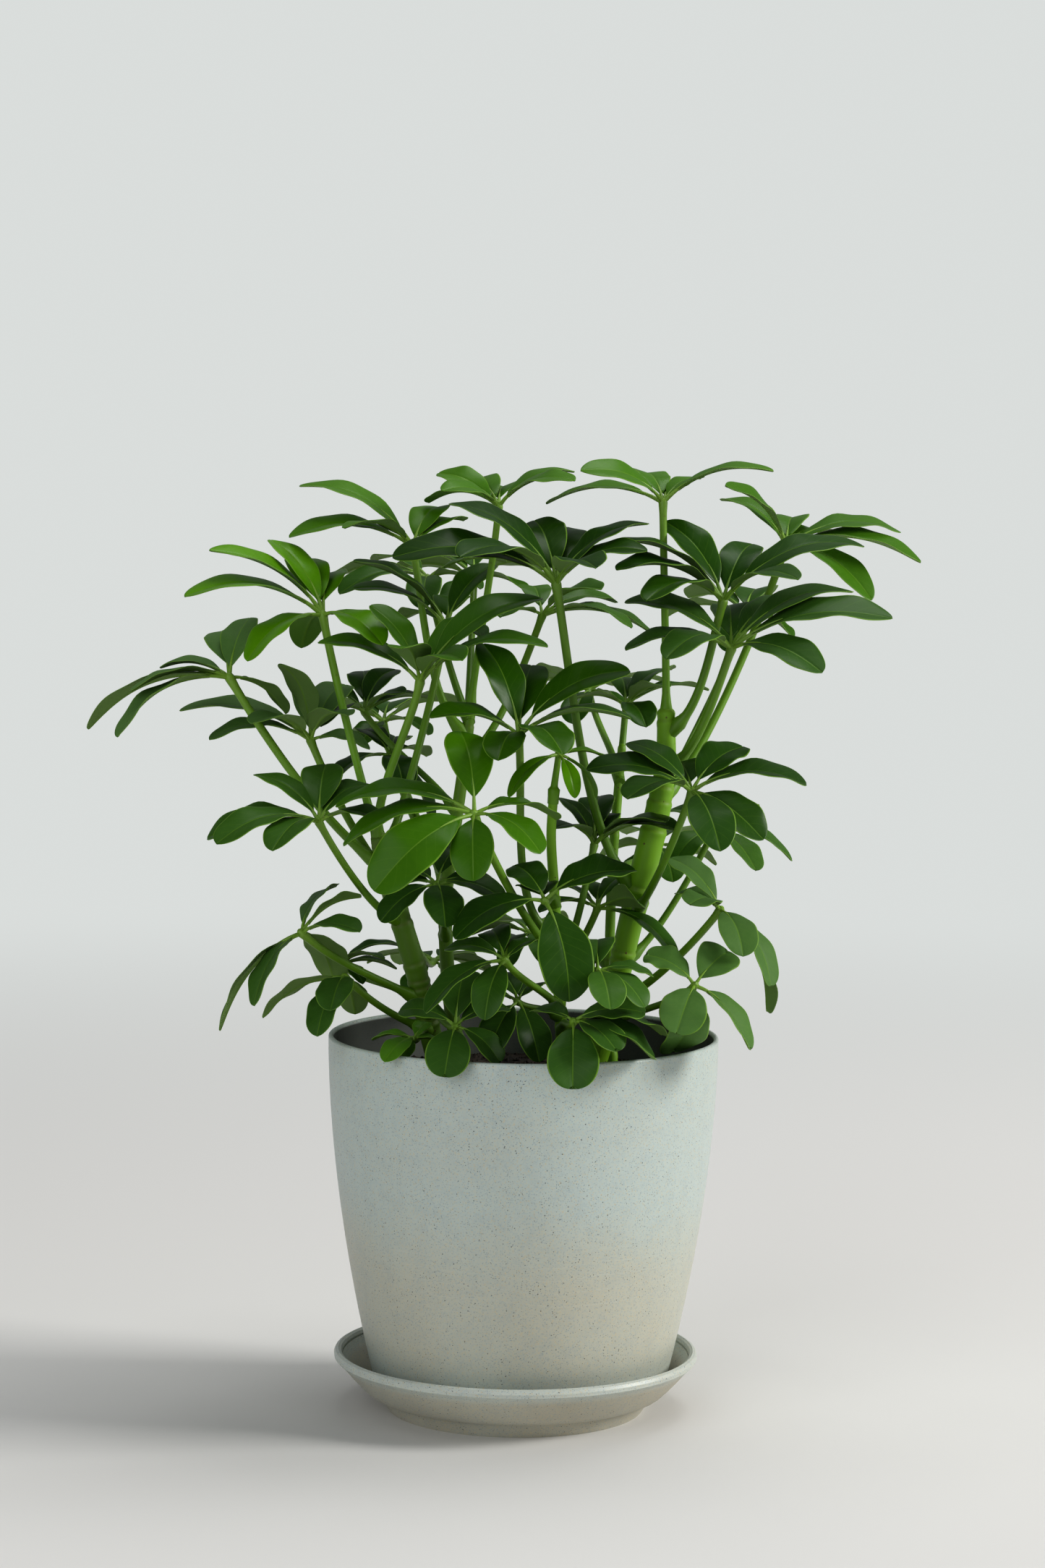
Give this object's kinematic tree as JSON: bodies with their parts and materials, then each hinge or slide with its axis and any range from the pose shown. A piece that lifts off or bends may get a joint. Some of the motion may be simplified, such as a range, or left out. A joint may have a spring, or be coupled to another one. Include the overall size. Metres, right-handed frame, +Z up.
{
  "type": "potted umbrella plant",
  "caption": "Potted dwarf umbrella plant: green stems with fans of oval leaflets growing from soil in a tall tapered planter that stands in a matching saucer.",
  "frame": {"origin": "on the pot's axis, at the level of the saucer's flat underside", "axes": "+Z up along the pot's axis, -Y towards the viewer, +X to the viewer's right"},
  "size_m": [0.4071, 0.2934, 0.4635],
  "materials": {
    "speckled_pot": "satin, pale grey-green with fine dark and beige speckles",
    "speckled_saucer": "satin, warm grey with fine speckles",
    "soil": "loose dark potting soil",
    "stem_green": "satin living green stem",
    "leaf_green": "waxy deep green leaf"
  },
  "bodies": {
    "root": {"saucer": "speckled_saucer", "pot": "speckled_pot", "soil": "soil", "stem_left": "stem_green", "stem_right": "stem_green", "stem_centre": "stem_green", "stem_back": "stem_green", "stem_inner": "stem_green", "leaf_front_big": "leaf_green", "leaf_middle": "leaf_green", "leaf_mid_left": "leaf_green", "leaf_upper_middle": "leaf_green", "leaf_upper_right": "leaf_green", "leaf_mid_right": "leaf_green", "leaf_front_left": "leaf_green", "leaf_front_right": "leaf_green", "leaf_far_right": "leaf_green", "leaf_top_right": "leaf_green", "leaf_top_middle": "leaf_green", "leaf_young_left": "leaf_green", "leaf_top_left": "leaf_green", "leaf_far_left": "leaf_green", "leaf_lower_left": "leaf_green", "leaf_left_shaded": "leaf_green", "leaf_over_rim_right": "leaf_green", "leaf_over_rim_left": "leaf_green", "leaf_drooping_left": "leaf_green", "leaf_drooping_right": "leaf_green", "leaf_drooping_low_left": "leaf_green", "leaf_drooping_low_right": "leaf_green", "leaf_low_middle": "leaf_green", "leaf_low_right": "leaf_green", "leaf_rosette": "leaf_green", "leaf_inner_low": "leaf_green", "leaf_new_shoot": "leaf_green", "leaf_inner_left": "leaf_green", "leaf_behind_right": "leaf_green", "leaf_low_dark": "leaf_green", "leaf_small_left": "leaf_green", "leaf_centre_dark": "leaf_green", "leaf_centre_small": "leaf_green", "leaf_upper_inner": "leaf_green", "leaf_inner_left_high": "leaf_green", "leaf_inner_left_low": "leaf_green", "leaf_inner_right": "leaf_green", "leaf_back_top_left": "leaf_green", "leaf_back_top": "leaf_green", "leaf_back_right": "leaf_green", "leaf_back_left": "leaf_green", "leaf_back_middle": "leaf_green", "leaf_back_low_left": "leaf_green", "leaf_back_low_right": "leaf_green", "leaf_back_low_middle": "leaf_green"}
  },
  "joints": []
}
